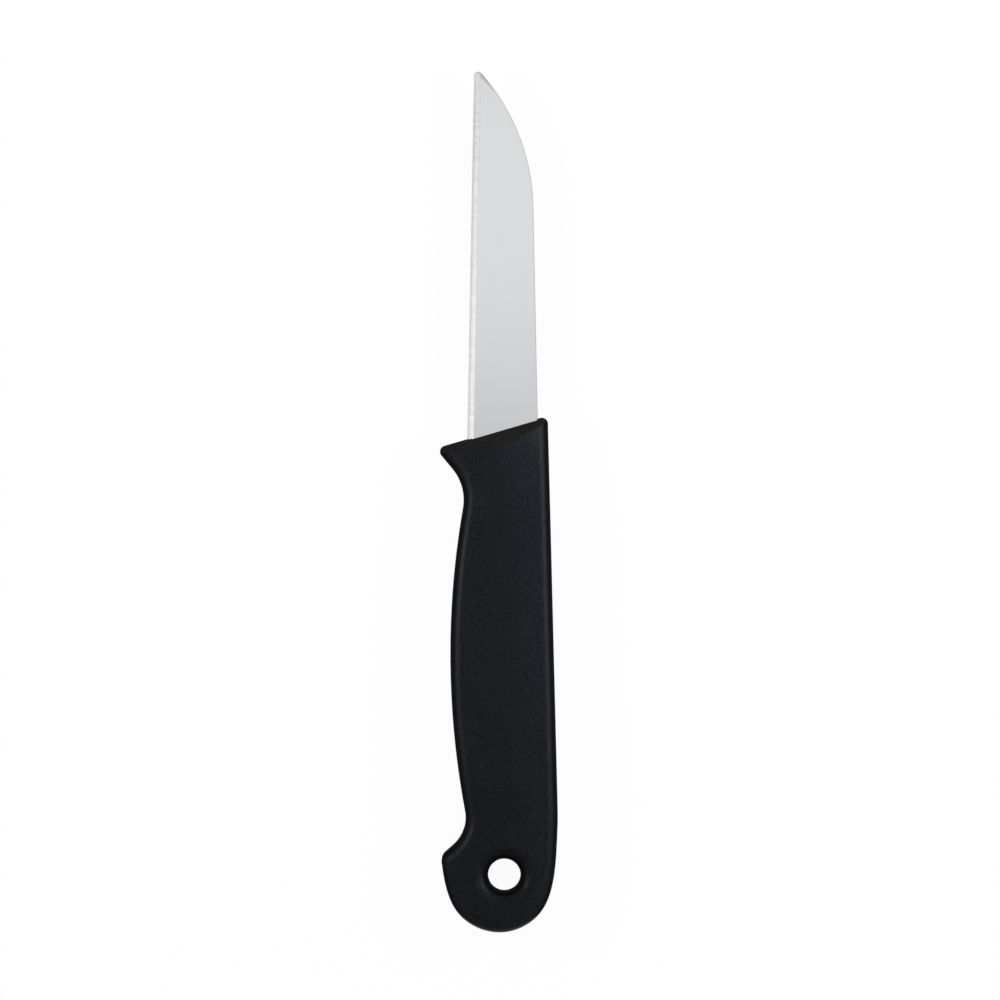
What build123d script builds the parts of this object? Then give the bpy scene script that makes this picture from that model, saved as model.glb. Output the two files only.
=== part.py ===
"""Paring knife: a bevelled steel blade whose tang is moulded into a one-piece plastic handle.

The knife lies flat on its side. +Y points to the tip, +X to the spine and -X to the cutting edge.
The origin is under the middle of the knife, on the surface it lies on. Lengths are millimetres
and angles are degrees.
"""

import os
from math import cos, radians, sin, tan

from build123d import *

# The whole knife
knife_length = 172.0
handle_length = 103.2
handle_width = 23.5
handle_thickness = 10.0

# Blade strip and its grinding
blade_thickness = 1.0
blade_width = 14.1
blade_spine_step = 2.0
edge_lean = 1.06
spine_lean = 1.2
straight_spine_length = 42.6
nose_radius = 0.8
bevel_width = 1.35
edge_land = 0.12
spine_easing = 0.15

# Tang inside the handle
shoulder_depth = 4.0
tang_width = 9.0
tang_length = 46.0
tang_corner_radius = 2.0
key_hole_radius = 2.2
key_hole_setback = 12.0
key_hole_spacing = 18.0

# Handle seen from above
ridge_slant = 16.2
handle_spine_lean = 1.443
finger_recess_radius = 9.65
rear_recess_radius = 7.4
beak_radius = 2.5
beak_lean = 8.5
front_corner_radius = 1.25

# Handle across its thickness
facet_tilt = 30.0
edge_radius = 2.7
crown_height = 1.15
front_crown_height = 1.89
front_land = 3.0
front_blend_length = 20.0
butt_taper = 0.7
butt_taper_length = 34.0

# Hang hole
hang_hole_radius = 3.25
hang_hole_setback = 11.5
hang_hole_rim_radius = 2.9

# How far a cutting shape runs past what it cuts
overrun = 4.0

# Plan outline: shares of the handle's width from the guard, and of its length from the butt
spine_front_shares = (0.9169, 1.0)
guard_share = -0.040
finger_corner_shares = (0.2298, 0.8628)
belly_shares = (0.0878, 0.5390)
rear_corner_shares = (0.2485, 0.1950)
beak_shares = (0.0051, 0.1475)
butt_shares = (
    (0.0495, 0.0888),
    (0.1639, 0.0345),
    (0.5389, 0.0003),
    (0.8404, 0.0345),
    (0.9526, 0.0888),
    (0.9968, 0.1876),
)
bow_start_share = 0.3717
hang_hole_share = 0.5468

# Places across the handle where its faces stand highest, as shares of its width
crown_line_share = 0.534
front_crown_line_share = 0.372

# Largest roundings that their walls carry: of the height left at the guard, and beside the hang hole
guard_wall_share = 1.3
hole_wall_share = 0.85

# How far a rounded nose falls short of the sharp point, in nose radii
nose_drop_share = 1.486
middle_share = 0.5

# Rows and columns of points that carry the shaped face of the handle
face_rows = 27
face_columns = 9

half_thickness = handle_thickness / 2
butt_end = -knife_length / 2
mid_plane = Plane.XY.offset(half_thickness)


def spot(shares):
    """Point of the plan view at these shares of the handle's width and length."""
    across_share, along_share = shares
    return (
        (across_share - middle_share) * handle_width,
        butt_end + along_share * handle_length,
    )


def leaning(foot, lean, along):
    """Point at this Y on a line through foot that leans by an angle from +Y."""
    return (foot[0] + (along - foot[1]) * tan(radians(lean)), along)


# Front of the handle: its ridge is a slanted line from the guard to the spine corner
ridge_direction = Vector(cos(radians(ridge_slant)), sin(radians(ridge_slant)), 0)
forward = Vector(-sin(radians(ridge_slant)), cos(radians(ridge_slant)), 0)
spine_front = spot(spine_front_shares)


def on_ridge(across):
    """Point of the ridge line at this X."""
    return (across, spine_front[1] - (spine_front[0] - across) * tan(radians(ridge_slant)))


def behind_ridge(point):
    """Distance of a point behind the ridge line."""
    return -(Vector(point.X, point.Y, 0) - Vector(*spine_front)).dot(forward)


guard_front = on_ridge(spot((guard_share, 0))[0])
finger_corner = spot(finger_corner_shares)
rear_corner = spot(rear_corner_shares)
beak = spot(beak_shares)
bow_start = leaning(spine_front, -handle_spine_lean, spot((0, bow_start_share))[1])
handle_spine_direction = (-sin(radians(handle_spine_lean)), cos(radians(handle_spine_lean)))
hang_hole = (spot((hang_hole_share, 0))[0], butt_end + hang_hole_setback)

# Feet of the blade's two sides on the ridge line, and its ends inside the handle
spine_foot = on_ridge(spine_front[0] - blade_spine_step)
edge_foot = on_ridge(spine_foot[0] - blade_width)
shoulder = edge_foot[1] - shoulder_depth
tang_middle = (edge_foot[0] + spine_foot[0]) / 2
tang_end = shoulder - tang_length
sharp_tip = leaning(edge_foot, edge_lean, knife_length / 2 + nose_drop_share * nose_radius)
curve_start = leaning(spine_foot, -spine_lean, spine_foot[1] + straight_spine_length)


def is_outer_edge(edge):
    """True for the edges round both faces of the strip, from its shoulder to its nose."""
    flat = abs((edge @ 0).Z - (edge @ 1).Z) < edge_land
    return flat and (edge @ middle_share).Y > shoulder + shoulder_depth / 2


# Blade: one strip with a ground edge and a narrower tang
with BuildPart() as blade:
    with BuildSketch(Plane.XY.offset(half_thickness - blade_thickness / 2)):
        with BuildLine():
            edge_line = Line(sharp_tip, leaning(edge_foot, edge_lean, shoulder))
            Polyline(
                edge_line @ 1,
                (tang_middle - tang_width / 2, shoulder),
                (tang_middle - tang_width / 2, tang_end),
                (tang_middle + tang_width / 2, tang_end),
                (tang_middle + tang_width / 2, shoulder),
                leaning(spine_foot, -spine_lean, shoulder),
                curve_start,
            )
            TangentArc(
                curve_start,
                sharp_tip,
                tangent=(-sin(radians(spine_lean)), cos(radians(spine_lean))),
            )
        strip = make_face()
        fillet(strip.vertices().sort_by(Axis.Y)[-1], nose_radius)
        fillet(strip.vertices().sort_by(Axis.Y)[:2], tang_corner_radius)
        with Locations(
            (tang_middle, shoulder - key_hole_setback),
            (tang_middle, shoulder - key_hole_setback - key_hole_spacing),
        ):
            Circle(key_hole_radius, mode=Mode.SUBTRACT)
    extrude(amount=blade_thickness)
    chamfer(blade.edges().filter_by(is_outer_edge), spine_easing)

    # Two long wedges are ground away to leave the bevel on both faces
    edge_direction = Vector(sin(radians(edge_lean)), cos(radians(edge_lean)), 0)
    grinding_start = leaning(edge_foot, edge_lean, shoulder - overrun)
    grinding_plane = Plane(
        origin=(grinding_start[0], grinding_start[1], half_thickness),
        x_dir=(cos(radians(edge_lean)), -sin(radians(edge_lean)), 0),
        z_dir=edge_direction,
    )
    bevel_rise = (blade_thickness - edge_land) / 2 / bevel_width
    with BuildSketch(grinding_plane):
        for side in (1, -1):
            with BuildLine():
                Polyline(
                    (bevel_width, side * blade_thickness / 2),
                    (-overrun, side * (edge_land / 2 - overrun * bevel_rise)),
                    (-overrun, side * (blade_thickness / 2 + overrun)),
                    (bevel_width, side * (blade_thickness / 2 + overrun)),
                    close=True,
                )
            make_face()
    extrude(amount=knife_length, mode=Mode.SUBTRACT)
blade.part.label = "blade"

# Shaped faces of the handle: crowned across, falling away at the front and thinning at the butt
crown_line = spot((crown_line_share, 0))[0]
front_crown_line = spot((front_crown_line_share, 0))[0]
crown_radius = (handle_width / 2) ** 2 / 2 / crown_height
front_crown_radius = (handle_width / 2) ** 2 / 2 / front_crown_height


def face_height(across, along):
    """Height of the handle's upper face above its middle plane."""
    place = Vector(across, along, 0)
    share = (behind_ridge(place) - front_land) / (front_blend_length - front_land)
    share = min(max(share, 0), 1)
    front_share = 1 - share * share * (3 - 2 * share)
    beside_front_crown = (place - Vector(*on_ridge(front_crown_line))).dot(ridge_direction)
    crown_drop = (across - crown_line) ** 2 / crown_radius / 2
    front_drop = front_share * beside_front_crown**2 / front_crown_radius / 2
    butt_share = max((butt_end + butt_taper_length - along) / butt_taper_length, 0)
    return half_thickness - crown_drop - front_drop - butt_taper * butt_share**2


def face_point(column, row):
    """Point of the upper face on an even grid that reaches past the handle all round."""
    low_across, low_along = guard_front[0] - overrun, butt_end - overrun
    high_across, high_along = handle_width / 2 + overrun, spine_front[1] + overrun
    across = low_across + (high_across - low_across) * column / (face_columns - 1)
    along = low_along + (high_along - low_along) * row / (face_rows - 1)
    return Vector(across, along, half_thickness + face_height(across, along))


upper_face = Face.make_surface_from_array_of_points(
    [[face_point(column, row) for column in range(face_columns)] for row in range(face_rows)]
)
with BuildPart() as under_face:
    extrude(upper_face, amount=handle_thickness + 2 * overrun, dir=(0, 0, -1))


# Plan outline of the handle, with sharp corners that are rounded later
with BuildLine() as outline:
    Line(spine_front, guard_front)
    Line(guard_front, finger_corner)
    ThreePointArc(finger_corner, spot(belly_shares), rear_corner)
    Line(rear_corner, beak)
    Spline(
        beak,
        *[spot(shares) for shares in butt_shares],
        bow_start,
        tangents=[(tan(radians(beak_lean)), -1), handle_spine_direction],
    )
    Line(bow_start, spine_front)


def nearest_corner(sketch, place):
    """Corner of a sketch that lies nearest to a place of the plan view."""
    return sketch.vertices().sort_by(lambda corner: (Vector(corner.X, corner.Y) - Vector(*place)).length)[0]


def is_behind_ridge(edge):
    """True for an edge of the handle's faces that isn't on its front."""
    return behind_ridge(edge @ middle_share) > front_land / 2


def is_hole_rim(edge):
    """True for an edge where the hang hole meets an outer face."""
    middle = edge @ middle_share
    beside_axis = (Vector(middle.X, middle.Y) - Vector(*hang_hole)).length
    above_middle = abs(middle.Z - half_thickness)
    return beside_axis < hang_hole_radius + rim_rounding / 2 and above_middle > half_thickness / 2


def corner_waste(corner, first, second, radius):
    """Outline of what rounding cuts off a plan corner, ending with the centre of the rounding."""
    to_first = (first - corner).normalized()
    to_second = (second - corner).normalized()
    half_angle = radians(to_first.get_angle(to_second) / 2)
    centre = corner + (to_first + to_second).normalized() * (radius / sin(half_angle))
    first_touch = corner + to_first * (radius / tan(half_angle))
    second_touch = corner + to_second * (radius / tan(half_angle))
    points = [
        first_touch,
        first_touch + (first_touch - centre),
        corner + (corner - centre),
        second_touch + (second_touch - centre),
        second_touch,
        centre,
    ]
    return [(point.X, point.Y) for point in points]


# Plan corners that are rounded last, each with a place along either side of it
sharp_corners = (
    (guard_front, spine_front, finger_corner, front_corner_radius),
    (spine_front, guard_front, bow_start, front_corner_radius),
    (beak, rear_corner, leaning(beak, -beak_lean, butt_end), beak_radius),
)

# Roundings of the handle's sides and of its hang hole, as far as the walls there carry them
side_rounding = min(edge_radius, guard_wall_share * face_height(*guard_front))
hole_wall = spot(butt_shares[-2])[0] - hang_hole[0] - hang_hole_radius - side_rounding
rim_rounding = min(hang_hole_rim_radius, hole_wall_share * hole_wall)

# Handle: moulded round the tang, with rounded sides, two front facets and a hang hole
with BuildPart() as handle:
    with BuildSketch(Plane.XY.offset(-overrun)) as plan:
        add(outline.line)
        make_face()
        fillet(nearest_corner(plan, finger_corner), finger_recess_radius)
        fillet(nearest_corner(plan, rear_corner), rear_recess_radius)
        with Locations(hang_hole):
            Circle(hang_hole_radius, mode=Mode.SUBTRACT)
    extrude(amount=handle_thickness + 2 * overrun)
    add(under_face.part, mode=Mode.INTERSECT)
    mirror(under_face.part, about=mid_plane, mode=Mode.INTERSECT)

    side_rims = ShapeList()
    for shaped_face in handle.faces().filter_by(GeomType.BSPLINE):
        side_rims += shaped_face.outer_wire().edges().filter_by(is_behind_ridge)
    fillet(side_rims, side_rounding)
    fillet(handle.edges().filter_by(is_hole_rim), rim_rounding)
    for side in (1, -1):
        facet_normal = forward * cos(radians(facet_tilt)) + Vector(0, 0, side * sin(radians(facet_tilt)))
        facet_plane = Plane(origin=(*spine_front, half_thickness), z_dir=facet_normal)
        split(bisect_by=facet_plane, keep=Keep.BOTTOM)
    with BuildSketch(Plane.XY.offset(-overrun)):
        for corner, first, second, radius in sharp_corners:
            waste = corner_waste(Vector(*corner), Vector(*first), Vector(*second), radius)
            Polygon(*waste[:-1], align=None)
            with Locations(waste[-1]):
                Circle(radius, mode=Mode.SUBTRACT)
    extrude(amount=handle_thickness + 2 * overrun, mode=Mode.SUBTRACT)
    add(blade.part, mode=Mode.SUBTRACT)
handle.part.label = "handle"

os.makedirs("parts", exist_ok=True)
export_step(blade.part, "parts/blade.step")
export_step(handle.part, "parts/handle.step")
for piece in (blade, handle):
    print(piece.part.label, len(piece.part.solids()), piece.part.is_valid, piece.part.bounding_box(optimal=True))
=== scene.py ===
"""Paring knife on a white table: satin steel blade in a black textured plastic handle.

Lengths are metres. +Y points to the tip, +X to the spine, and +Z up from the table.
"""

from math import cos, radians, sin

import bpy
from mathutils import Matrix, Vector

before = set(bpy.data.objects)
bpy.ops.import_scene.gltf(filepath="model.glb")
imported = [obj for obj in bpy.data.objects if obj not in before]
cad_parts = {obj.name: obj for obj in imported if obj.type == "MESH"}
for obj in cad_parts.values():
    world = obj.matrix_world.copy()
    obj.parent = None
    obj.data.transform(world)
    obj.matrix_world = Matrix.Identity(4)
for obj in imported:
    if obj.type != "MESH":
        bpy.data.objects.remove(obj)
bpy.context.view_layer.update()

MM = 0.001
WHITE = (1.0, 1.0, 1.0, 1.0)
BLACK = (0.0, 0.0, 0.0, 1.0)

# Directions: across the knife to its spine, along it to its tip, and up
ACROSS = Vector((1.0, 0.0, 0.0))
ALONG = Vector((0.0, 1.0, 0.0))
UP = Vector((0.0, 0.0, 1.0))

# Noise mostly stays near a half: the range over which a finish follows it
NOISE_RANGE = (0.3, 0.7)

# Cutting edge: its foot at the handle, and its lean from +Y
EDGE_FOOT = Vector((-6.303 * MM, 12.52 * MM, 5.0 * MM))
EDGE_LEAN = radians(1.06)
EDGE_NORMAL = Vector((cos(EDGE_LEAN), -sin(EDGE_LEAN), 0.0))

# Bevel: from its border to where its finish is complete, as distances from the edge
BEVEL_WIDTH = 1.35 * MM
BEVEL_BORDER = (BEVEL_WIDTH, 0.93 * BEVEL_WIDTH)

# Darker outer part of the bevel, and how much darker it is, which drops towards the tip
EDGE_STRIP_BORDER = (0.70 * MM, 0.15 * MM)
EDGE_STRIP_DROP = (78.0 * MM, 82.0 * MM)
EDGE_STRIP_DARKNESS = (0.23, 0.09)

# Nose of the blade: the way that its blunted tip faces, and how far out it lies that way
NOSE = Vector((0.74, 0.672, 0.0))
NOSE_REACH = 54.75 * MM

# Nose's painted shade: where it starts and is complete, outwards and along the blade, and its share on the
# bevel
NOSE_BORDER = (NOSE_REACH - 0.75 * MM, NOSE_REACH - 0.05 * MM)
NOSE_START = (80.5 * MM, 84.8 * MM)
NOSE_ON_BEVEL = 0.4

# Steel: two shades of each ground surface, the colour of the eased edges, and the painted shade of the
# nose, which stands in for the dark reflection on its blunted tip
FLAT_STEEL = ((0.399, 0.402, 0.409, 1.0), (0.409, 0.411, 0.417, 1.0))
BEVEL_STEEL = ((0.445, 0.445, 0.448, 1.0), (0.495, 0.495, 0.498, 1.0))
GRINDING_CONTRAST = (0.40, 0.60)
EASED_STEEL = (0.50, 0.50, 0.505, 1.0)
NOSE_PAINTED_SHADE = (0.28, 0.28, 0.28, 1.0)

# Eased edges: how far the steel faces up or down where they start and are complete, as cosines
EASED_TILT = (0.90, 0.75)

# Steel's gloss and its relief
SATIN_ROUGHNESS = (0.166, 0.174)
BEVEL_EXTRA_ROUGHNESS = 0.06
SATIN_DEPTH = 0.3
STEEL_RELIEF = 0.001 * MM
STEEL_RELIEF_STRENGTH = 0.15

# Front of the handle: its ridge line runs from the guard to the spine corner
RIDGE_SLANT = radians(16.2)
FRONT = Vector((-sin(RIDGE_SLANT), cos(RIDGE_SLANT), 0.0))

# Handle's regions: where each one starts and where it is complete, as places along or across it
FACET_START = (-5.0 * MM, 0.0)
BUTT_START = (-78.0 * MM, -80.0 * MM)
AHEAD_OF_BUTT = (-82.0 * MM, -78.0 * MM)
GUARD_START = (-3.0 * MM, -10.0 * MM)

# The same by how far the surface turns to a direction, as cosines
FACET_TURN = (0.72, 0.82)
BUTT_TURN = (0.45, 0.8)
SIDE_TURN = (0.88, 0.60)
SPINE_TURN = (-0.02, 0.14)
BACK_TURN = (0.04, 0.40)

# Plastic: its two blacks, and the shades of its regions as shares of them
GRAINED_BLACK = (0.0072, 0.0077, 0.0100, 1.0)
FACET_BLACK = (0.0088, 0.0088, 0.0087, 1.0)
SPECKLE_CONTRAST = (0.35, 0.65)
SPECKLE_SHADES = (0.70, 1.30)
PATCH_SHADES = (0.94, 1.06)
# Painted sheen on faces turned to the spine; painted shade on flanks, backward faces and guard
SPINE_PAINTED_SHEEN = 1.25
FLANK_PAINTED_SHADE = 0.2
BACK_PAINTED_SHADE = 0.55
GUARD_PAINTED_SHADE = 0.68

# Handle from its butt to its front, and its painted light there: it gets lighter towards the blade
HANDLE_SPAN = (-90.0 * MM, 20.0 * MM)
LENGTH_PAINTED_LIGHT = (0.85, 1.32)

# Plastic's gloss, with what its side walls add away from the facets and on them, and its relief
GRAIN_ROUGHNESS = (0.30, 0.40)
SIDE_EXTRA_ROUGHNESS = (0.5, 0.45)
PLASTIC_SPECULAR = 0.05
PLASTIC_RELIEF = 0.03 * MM
PLASTIC_RELIEF_STRENGTH = 0.6

# Table and air: the share of the table's own white, and the strengths of what is seen and what lights
TABLE_SIZE = 6.0
TABLE_DROP = 0.02 * MM
TABLE_COLOUR = (0.95, 0.95, 0.95, 1.0)
TABLE_OWN_WHITE = 0.95
SEEN_WHITE = 1.0
LIGHTING_AIR = 0.35

# Watts per square metre of a lamp whose mirror image looks white
WHITE_LAMP = 4.0

# Camera: one metre above the knife, with a long lens whose frame spans 200 mm
CAMERA_PLACE = (0.24 * MM, 0.34 * MM, 1.005)
CAMERA_REACH = (0.05, 20.0)
SENSOR_WIDTH = 36.0
LENS = 180.0


class Finish:
    """A material's node tree, with short ways to add and join nodes."""

    def __init__(self, name):
        self.material = bpy.data.materials.new(name)
        self.material.use_nodes = True
        self.nodes = self.material.node_tree.nodes
        self.links = self.material.node_tree.links
        self.surface = self.nodes["Principled BSDF"]
        coordinates = self.add("ShaderNodeTexCoord")
        self.place = coordinates.outputs["Object"]
        self.facing = coordinates.outputs["Normal"]
        self.along = self.dot(self.place, ALONG)
        self.upright = self.math("ABSOLUTE", self.dot(self.facing, UP))

    def add(self, kind, **settings):
        node = self.nodes.new(kind)
        for setting, value in settings.items():
            setattr(node, setting, value)
        return node

    def join(self, source, target):
        self.links.new(source, target)

    def feed(self, socket, value):
        """Joins an output to the socket, or sets the socket to a plain value."""
        if isinstance(value, bpy.types.NodeSocket):
            self.join(value, socket)
        else:
            socket.default_value = value

    def math(self, operation, first, second=0.0):
        node = self.add("ShaderNodeMath", operation=operation)
        self.feed(node.inputs[0], first)
        self.feed(node.inputs[1], second)
        return node.outputs[0]

    def times(self, product, *factors):
        for factor in factors:
            product = self.math("MULTIPLY", product, factor)
        return product

    def outside(self, share):
        """0 where the share is 1, and 1 where it is 0."""
        return self.math("SUBTRACT", 1.0, share)

    def dot(self, source, direction):
        node = self.add("ShaderNodeVectorMath", operation="DOT_PRODUCT")
        self.join(source, node.inputs[0])
        node.inputs[1].default_value = direction
        return node.outputs["Value"]

    def ramp(self, value, between, to=(0.0, 1.0)):
        """Eases from the first of two results to the second, while the value crosses a range."""
        node = self.add("ShaderNodeMapRange", interpolation_type="SMOOTHSTEP")
        self.feed(node.inputs["Value"], value)
        node.inputs["From Min"].default_value, node.inputs["From Max"].default_value = between
        node.inputs["To Min"].default_value, node.inputs["To Max"].default_value = to
        return node.outputs["Result"]

    def shade_in(self, share, shade):
        """The shade where the share is 1, and no change where it is 0."""
        return self.ramp(share, (0.0, 1.0), (1.0, shade))

    def blend(self, share, first, second, kind="RGBA"):
        node = self.add("ShaderNodeMix", data_type=kind)
        self.feed(node.inputs["Factor"], share)
        self.feed(node.inputs["A"], first)
        self.feed(node.inputs["B"], second)
        return node.outputs["Result"]

    def noise(self, scale, detail, turn=0.0, stretch=(1.0, 1.0, 1.0)):
        """Noise of so many cells per metre, read at places that are stretched and then turned about +Z."""
        mapping = self.add("ShaderNodeMapping")
        mapping.inputs["Rotation"].default_value = (0.0, 0.0, turn)
        mapping.inputs["Scale"].default_value = stretch
        self.join(self.place, mapping.inputs["Vector"])
        node = self.add("ShaderNodeTexNoise")
        node.inputs["Scale"].default_value = scale
        node.inputs["Detail"].default_value = detail
        self.join(mapping.outputs["Vector"], node.inputs["Vector"])
        return node.outputs["Fac"]

    def raise_bumps(self, height, depth, strength):
        node = self.add("ShaderNodeBump")
        node.inputs["Strength"].default_value = strength
        node.inputs["Distance"].default_value = depth
        self.join(height, node.inputs["Height"])
        self.join(node.outputs["Normal"], self.surface.inputs["Normal"])


def textured_plastic():
    """Black plastic with the fine pebbled grain of a spark-eroded mould.

    The front facets are a more neutral black than the rest; the side walls are duller, and darker by
    painted shade.
    """
    finish = Finish("textured_plastic")

    # Front facets, and their part on the guard, which is darkened by painted shade
    facet = finish.times(
        finish.ramp(finish.dot(finish.facing, FRONT), FACET_TURN),
        finish.ramp(finish.along, FACET_START),
    )
    guard = finish.times(facet, finish.ramp(finish.dot(finish.place, ACROSS), GUARD_START))

    # Butt, and what faces back ahead of it, such as the hang hole's front rim, which is darkened by
    # painted shade
    backward = finish.dot(finish.facing, -ALONG)
    butt = finish.times(finish.ramp(backward, BUTT_TURN), finish.ramp(finish.along, BUTT_START))
    rearward = finish.times(finish.ramp(backward, BACK_TURN), finish.ramp(finish.along, AHEAD_OF_BUTT))

    # Side walls, and their part behind the facets, which is darkened by painted shade
    side = finish.times(finish.ramp(finish.upright, SIDE_TURN), finish.outside(butt))
    flank = finish.times(side, finish.outside(facet))

    grain = finish.noise(scale=2100.0, detail=3.0)
    patches = finish.noise(scale=90.0, detail=2.0)
    # Grain and patches, then painted shade and light: darker flanks, lighter towards the blade, a sheen on
    # faces turned to the spine, darker back-facing faces and guard
    shade = finish.times(
        finish.ramp(grain, SPECKLE_CONTRAST, SPECKLE_SHADES),
        finish.ramp(patches, NOISE_RANGE, PATCH_SHADES),
        finish.shade_in(flank, FLANK_PAINTED_SHADE),
        finish.ramp(finish.along, HANDLE_SPAN, LENGTH_PAINTED_LIGHT),
        finish.ramp(finish.dot(finish.facing, ACROSS), SPINE_TURN, (1.0, SPINE_PAINTED_SHEEN)),
        finish.shade_in(rearward, BACK_PAINTED_SHADE),
        finish.shade_in(guard, GUARD_PAINTED_SHADE),
    )
    tint = finish.add("ShaderNodeVectorMath", operation="SCALE")
    finish.join(finish.blend(facet, GRAINED_BLACK, FACET_BLACK), tint.inputs[0])
    finish.join(shade, tint.inputs["Scale"])
    finish.join(tint.outputs["Vector"], finish.surface.inputs["Base Color"])

    side_roughness = finish.times(side, finish.ramp(facet, (0.0, 1.0), SIDE_EXTRA_ROUGHNESS))
    roughness = finish.math("ADD", finish.ramp(grain, NOISE_RANGE, GRAIN_ROUGHNESS), side_roughness)
    finish.join(roughness, finish.surface.inputs["Roughness"])
    finish.surface.inputs["Specular IOR Level"].default_value = PLASTIC_SPECULAR
    finish.raise_bumps(grain, PLASTIC_RELIEF, PLASTIC_RELIEF_STRENGTH)
    return finish.material


def satin_steel():
    """Ground stainless steel: fine lengthwise lines, and a bevel with grinding lines across the edge."""
    finish = Finish("satin_steel")

    # Bevel, its darker outer part, the eased edges with the walls between them, and the nose's painted
    # shade
    from_edge = finish.math("SUBTRACT", finish.dot(finish.place, EDGE_NORMAL), EDGE_FOOT.dot(EDGE_NORMAL))
    bevel = finish.ramp(from_edge, BEVEL_BORDER)
    edge_strip = finish.times(
        finish.ramp(from_edge, EDGE_STRIP_BORDER),
        finish.ramp(finish.along, EDGE_STRIP_DROP, EDGE_STRIP_DARKNESS),
    )
    eased = finish.ramp(finish.upright, EASED_TILT)
    painted_nose_shade = finish.times(
        finish.ramp(finish.dot(finish.place, NOSE), NOSE_BORDER),
        finish.ramp(finish.along, NOSE_START),
        finish.shade_in(bevel, NOSE_ON_BEVEL),
    )

    satin_lines = finish.noise(scale=1500.0, detail=4.0, turn=EDGE_LEAN, stretch=(3.0, 0.04, 1.0))
    grinding_lines = finish.noise(scale=2300.0, detail=1.0, turn=EDGE_LEAN, stretch=(0.08, 1.0, 0.1))
    clouds = finish.noise(scale=60.0, detail=2.0)
    flat = finish.blend(clouds, *FLAT_STEEL)
    ground = finish.blend(finish.ramp(grinding_lines, GRINDING_CONTRAST), *BEVEL_STEEL)
    ground = finish.blend(edge_strip, ground, BLACK)
    colour = finish.blend(bevel, flat, ground)
    colour = finish.blend(eased, colour, EASED_STEEL)
    # Painted shade on the nose, standing in for the dark reflection on its blunted tip
    colour = finish.blend(painted_nose_shade, colour, NOSE_PAINTED_SHADE)
    finish.join(colour, finish.surface.inputs["Base Color"])
    finish.surface.inputs["Metallic"].default_value = 1.0

    satin = finish.ramp(satin_lines, NOISE_RANGE, SATIN_ROUGHNESS)
    roughness = finish.math("ADD", satin, finish.times(bevel, BEVEL_EXTRA_ROUGHNESS))
    finish.join(roughness, finish.surface.inputs["Roughness"])
    height = finish.blend(bevel, finish.times(satin_lines, SATIN_DEPTH), grinding_lines, kind="FLOAT")
    finish.raise_bumps(height, STEEL_RELIEF, STEEL_RELIEF_STRENGTH)
    return finish.material


def seen_rays(tree):
    """1 for the rays of the camera and of reflections, 0 for the rays of the light."""
    rays = tree.nodes.new("ShaderNodeLightPath")
    seen = rays.outputs["Is Camera Ray"]
    for kind in ("Is Glossy Ray", "Is Transmission Ray"):
        either = tree.nodes.new("ShaderNodeMath")
        either.operation = "MAXIMUM"
        tree.links.new(seen, either.inputs[0])
        tree.links.new(rays.outputs[kind], either.inputs[1])
        seen = either.outputs[0]
    return seen


def glow(tree, kind, strength):
    """White light of a given strength, from a surface or from the world."""
    white = tree.nodes.new(kind)
    white.inputs["Color"].default_value = WHITE
    white.inputs["Strength"].default_value = strength
    return white.outputs[0]


def mix_shaders(tree, share, first, second, output_kind):
    """Joins a mix of two shaders to the tree's output, with the given share of the second one."""
    mix = tree.nodes.new("ShaderNodeMixShader")
    tree.links.new(share, mix.inputs["Fac"])
    tree.links.new(first, mix.inputs[1])
    tree.links.new(second, mix.inputs[2])
    output = tree.nodes.new(output_kind)
    tree.links.new(mix.outputs[0], output.inputs["Surface"])


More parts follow.
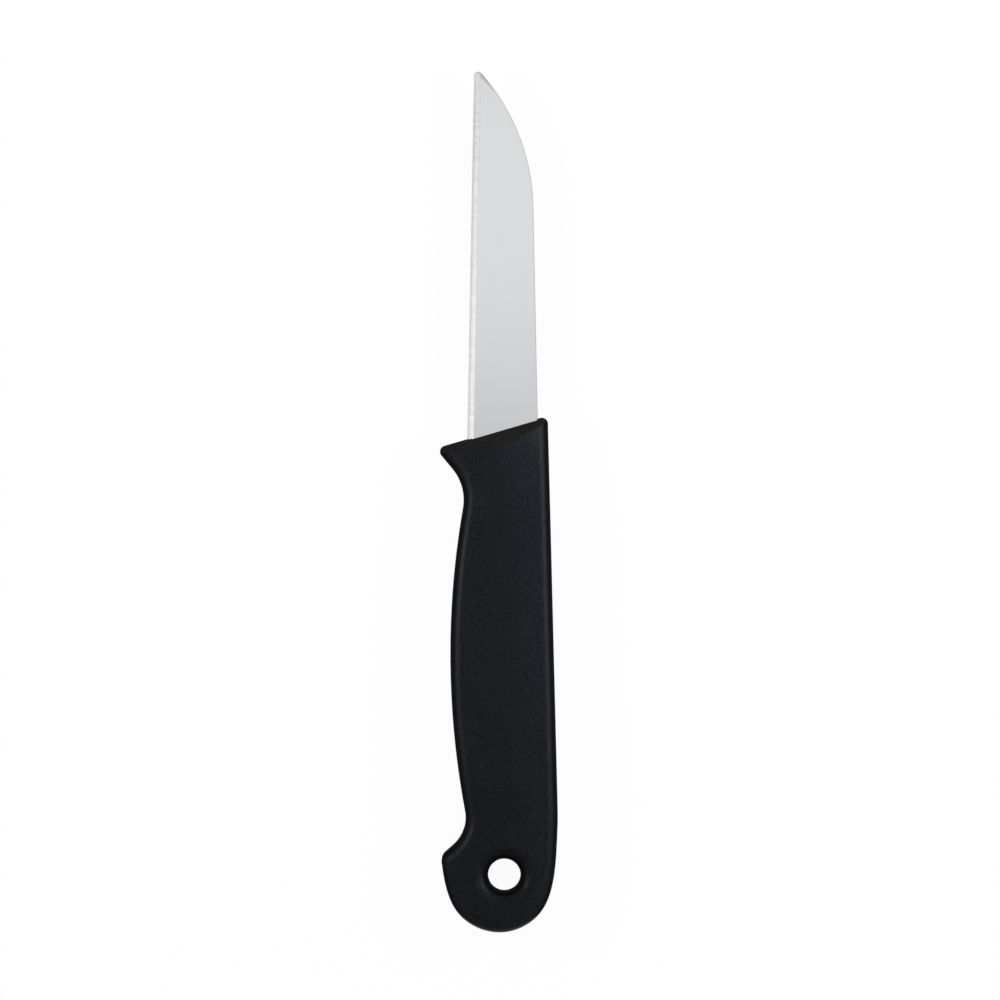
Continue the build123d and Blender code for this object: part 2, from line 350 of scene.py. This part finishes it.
def table_top():
    """White table: mostly its own white to the camera, so that only a faint shadow of the knife shows."""
    bpy.ops.mesh.primitive_plane_add(size=TABLE_SIZE, location=(0.0, 0.0, -TABLE_DROP))
    table = bpy.context.object
    table.name = "table"
    material = bpy.data.materials.new("white_table")
    material.use_nodes = True
    tree = material.node_tree
    tree.nodes.clear()
    lit = tree.nodes.new("ShaderNodeBsdfDiffuse")
    lit.inputs["Color"].default_value = TABLE_COLOUR
    share = tree.nodes.new("ShaderNodeMath")
    share.operation = "MULTIPLY"
    tree.links.new(seen_rays(tree), share.inputs[0])
    share.inputs[1].default_value = TABLE_OWN_WHITE
    own_white = glow(tree, "ShaderNodeEmission", SEEN_WHITE)
    mix_shaders(tree, share.outputs[0], lit.outputs[0], own_white, "ShaderNodeOutputMaterial")
    table.data.materials.append(material)


def studio_air():
    """World: white behind everything, and a dimmer even light on the knife."""
    world = bpy.data.worlds.new("studio")
    bpy.context.scene.world = world
    world.use_nodes = True
    tree = world.node_tree
    tree.nodes.clear()
    dim = glow(tree, "ShaderNodeBackground", LIGHTING_AIR)
    white = glow(tree, "ShaderNodeBackground", SEEN_WHITE)
    mix_shaders(tree, seen_rays(tree), dim, white, "ShaderNodeOutputWorld")


def soft_light(name, place, size, radiance, target=(0.0, 0.0, 0.0)):
    """Rectangular soft light that faces the knife; radiance 1 looks white in a mirror."""
    lamp = bpy.data.lights.new(name, "AREA")
    lamp.shape = "RECTANGLE"
    lamp.size, lamp.size_y = size
    lamp.energy = WHITE_LAMP * radiance * lamp.size * lamp.size_y
    light = bpy.data.objects.new(name, lamp)
    bpy.context.scene.collection.objects.link(light)
    light.location = place
    light.rotation_euler = (Vector(target) - Vector(place)).to_track_quat("-Z", "Y").to_euler()
    light.visible_camera = False


def camera():
    """Camera that looks straight down at the knife."""
    lens = bpy.data.cameras.new("camera")
    lens.sensor_width = SENSOR_WIDTH
    lens.lens = LENS
    lens.clip_start, lens.clip_end = CAMERA_REACH
    stand = bpy.data.objects.new("camera", lens)
    bpy.context.scene.collection.objects.link(stand)
    stand.location = CAMERA_PLACE
    bpy.context.scene.camera = stand


bpy.ops.object.select_all(action="DESELECT")
for node, material in (("blade", satin_steel()), ("handle", textured_plastic())):
    for material_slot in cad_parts[node].material_slots:
        material_slot.material = material

table_top()
studio_air()
soft_light("left_light", place=(-0.41, 0.04, 0.29), size=(0.18, 0.18), radiance=9.4)
soft_light("right_light", place=(0.41, 0.07, 0.29), size=(0.32, 0.18), radiance=7.4)
soft_light("top_light", place=(0.0, 0.14, 1.3), size=(0.8, 0.20), radiance=0.74, target=(0.0, 0.14, 0.0))
camera()
bpy.context.scene.view_settings.view_transform = "Standard"
